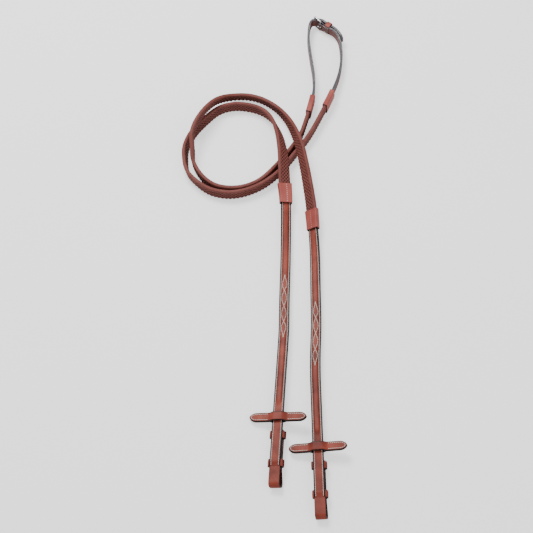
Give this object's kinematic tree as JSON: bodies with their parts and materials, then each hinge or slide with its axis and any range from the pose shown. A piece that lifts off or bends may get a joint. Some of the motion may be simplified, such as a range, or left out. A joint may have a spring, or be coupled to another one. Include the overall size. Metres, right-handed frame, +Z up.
{
  "type": "riding reins",
  "caption": "Pair of leather riding reins with pimpled rubber grips, sliding martingale stops, hook stud bit ends and a hand buckle, laid out with the grips coiled once",
  "frame": {"origin": "centre of the footprint, on the surface that the reins lie on", "axes": "+Y from the bit ends to the hand buckle, +Z up, +X to the right seen from above"},
  "size_m": [0.2624, 0.8827, 0.0418],
  "materials": {
    "face_leather": "smooth oiled bridle leather, tan red, edges dark",
    "lining_leather": "smooth leather, darker at the edges",
    "padding": "plain leather filler",
    "sleeve_leather": "smooth leather sleeve",
    "hand_leather": "smooth leather, dark edges",
    "grip_rubber": "pimpled rubber",
    "core_web": "woven web",
    "steel": "polished steel"
  },
  "bodies": {
    "reins": {"left_rein_face": "face_leather", "left_rein_padding": "padding", "left_rein_lining": "lining_leather", "left_bit_billet": "face_leather", "left_hook_stud": "steel", "left_stud_washer": "steel", "left_upper_keeper": "lining_leather", "left_lower_keeper": "lining_leather", "left_join_sleeve": "sleeve_leather", "left_rubber_grip": "grip_rubber", "left_grip_core": "core_web", "left_grip_sleeve": "sleeve_leather", "left_hand_strap": "hand_leather", "right_rein_face": "face_leather", "right_rein_padding": "padding", "right_rein_lining": "lining_leather", "right_bit_billet": "face_leather", "right_hook_stud": "steel", "right_stud_washer": "steel", "right_upper_keeper": "lining_leather", "right_lower_keeper": "lining_leather", "right_join_sleeve": "sleeve_leather", "right_rubber_grip": "grip_rubber", "right_grip_core": "core_web", "right_grip_sleeve": "sleeve_leather", "right_hand_strap": "hand_leather", "buckle_frame": "steel", "buckle_chape": "hand_leather", "buckle_keeper": "sleeve_leather"},
    "left_stop": {"left_rein_stop_front": "face_leather", "left_rein_stop_back": "lining_leather"},
    "right_stop": {"right_rein_stop_front": "face_leather", "right_rein_stop_back": "lining_leather"},
    "tongue": {"buckle_tongue": "steel"}
  },
  "joints": [
    {"name": "left_stop_slide", "type": "slide", "parent": "reins", "child": "left_stop", "axis": [0.0665, 0.9976, -0.0166], "range_m": [-0.008, 0.098]},
    {"name": "right_stop_slide", "type": "slide", "parent": "reins", "child": "right_stop", "axis": [-0.0167, 0.9997, -0.0167], "range_m": [-0.008, 0.098]},
    {"name": "tongue_hinge", "type": "hinge", "parent": "reins", "child": "tongue", "pos_m": [0.093, 0.427, 0.0125], "axis": [0, 0, -1], "range_deg": [0, 8]}
  ]
}
